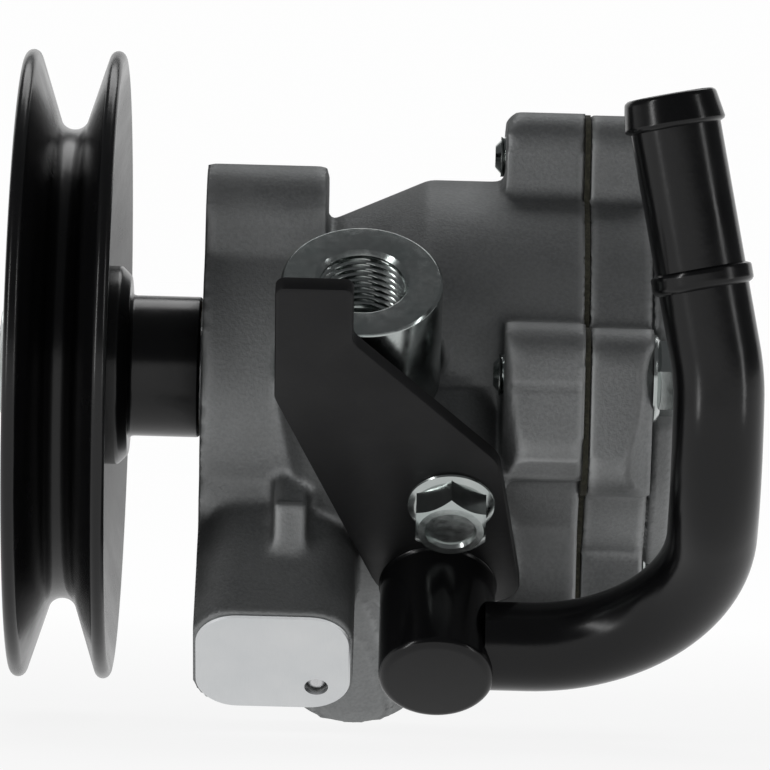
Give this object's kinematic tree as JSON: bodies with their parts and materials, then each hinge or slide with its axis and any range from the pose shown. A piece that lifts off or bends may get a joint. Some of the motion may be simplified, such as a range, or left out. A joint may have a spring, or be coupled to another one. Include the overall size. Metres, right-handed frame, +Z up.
{
  "type": "power steering pump",
  "caption": "Belt-driven vane pump for power steering: cast housing, V-belt pulley, threaded pressure union and a bent suction pipe on a bolted plate.",
  "frame": {"origin": "on the shaft axis, in the front mounting face of the housing", "axes": "+X along the shaft from the pulley to the rear cover, +Z up, the suction pipe on the -Y side"},
  "size_m": [0.1497, 0.1517, 0.1328],
  "materials": {
    "cast_aluminium": "sand cast, matt grey",
    "gasket_paper": "matt dark olive",
    "zinc_steel": "zinc plated",
    "black_pulley": "semi-gloss black paint",
    "black_pipe": "gloss black paint",
    "ground_steel": "ground",
    "bush_bronze": "machined",
    "seal_rubber": "matt black"
  },
  "bodies": {
    "pump": {"housing": "cast_aluminium", "rear_cover": "cast_aluminium", "cover_gasket": "gasket_paper", "cover_bolts": "zinc_steel", "suction_bolt": "zinc_steel", "outlet_union": "zinc_steel", "suction_plate": "black_pipe", "suction_stub": "black_pipe", "suction_pipe": "black_pipe", "bearing_outer_race": "ground_steel", "bearing_ring": "ground_steel", "cam_ring": "ground_steel", "side_plate": "ground_steel", "dowel_pins": "ground_steel", "flow_valve_spring": "ground_steel", "gallery_plug": "ground_steel", "shaft_bush": "bush_bronze", "rear_bush": "bush_bronze", "shaft_seal": "seal_rubber", "union_seal": "seal_rubber", "suction_seal": "seal_rubber"},
    "drive": {"pulley_front_half": "black_pulley", "pulley_rear_half": "black_pulley", "pulley_hub": "black_pulley", "pulley_nut": "zinc_steel", "pulley_washer": "zinc_steel", "shaft_key": "ground_steel", "drive_shaft": "ground_steel", "bearing_inner_race": "ground_steel", "rotor": "ground_steel", "rotor_clip": "ground_steel"},
    "ball_set": {"bearing_balls": "ground_steel", "bearing_cage": "bush_bronze"},
    "valve": {"flow_valve_spool": "ground_steel"},
    "vane_1_body": {"vane_1": "ground_steel"},
    "vane_2_body": {"vane_2": "ground_steel"},
    "vane_3_body": {"vane_3": "ground_steel"},
    "vane_4_body": {"vane_4": "ground_steel"},
    "vane_5_body": {"vane_5": "ground_steel"},
    "vane_6_body": {"vane_6": "ground_steel"},
    "vane_7_body": {"vane_7": "ground_steel"},
    "vane_8_body": {"vane_8": "ground_steel"},
    "vane_9_body": {"vane_9": "ground_steel"},
    "vane_10_body": {"vane_10": "ground_steel"}
  },
  "joints": [
    {"name": "shaft_spin", "type": "hinge", "parent": "pump", "child": "drive", "pos_m": [0, 0, 0], "axis": [1, 0, 0], "continuous": true},
    {"name": "cage_spin", "type": "hinge", "parent": "pump", "child": "ball_set", "pos_m": [0, 0, 0], "axis": [1, 0, 0], "continuous": true},
    {"name": "valve_slide", "type": "slide", "parent": "pump", "child": "valve", "axis": [0, 0.682, -0.7314], "range_m": [0, 0.008], "stiffness_N_per_m": 2500, "springref_m": -0.004, "deforming": ["flow_valve_spring"]},
    {"name": "vane_1_slide", "type": "slide", "parent": "drive", "child": "vane_1_body", "axis": [0, 0.9511, 0.309], "range_m": [0, 0.0003]},
    {"name": "vane_2_slide", "type": "slide", "parent": "drive", "child": "vane_2_body", "axis": [0, 0.5878, 0.809], "range_m": [0, 0.00175]},
    {"name": "vane_3_slide", "type": "slide", "parent": "drive", "child": "vane_3_body", "axis": [0, 0, 1], "range_m": [0, 0.0027]},
    {"name": "vane_4_slide", "type": "slide", "parent": "drive", "child": "vane_4_body", "axis": [0, -0.5878, 0.809], "range_m": [0, 0.00175]},
    {"name": "vane_5_slide", "type": "slide", "parent": "drive", "child": "vane_5_body", "axis": [0, -0.9511, 0.309], "range_m": [0, 0.0003]},
    {"name": "vane_6_slide", "type": "slide", "parent": "drive", "child": "vane_6_body", "axis": [0, -0.9511, -0.309], "range_m": [0, 0.0003]},
    {"name": "vane_7_slide", "type": "slide", "parent": "drive", "child": "vane_7_body", "axis": [0, -0.5878, -0.809], "range_m": [0, 0.00175]},
    {"name": "vane_8_slide", "type": "slide", "parent": "drive", "child": "vane_8_body", "axis": [0, 0, -1], "range_m": [0, 0.0027]},
    {"name": "vane_9_slide", "type": "slide", "parent": "drive", "child": "vane_9_body", "axis": [0, 0.5878, -0.809], "range_m": [0, 0.00175]},
    {"name": "vane_10_slide", "type": "slide", "parent": "drive", "child": "vane_10_body", "axis": [0, 0.9511, -0.309], "range_m": [0, 0.0003]}
  ],
  "couplings": [
    {"joint": "cage_spin", "follows": "shaft_spin", "ratio": 0.3816}
  ]
}
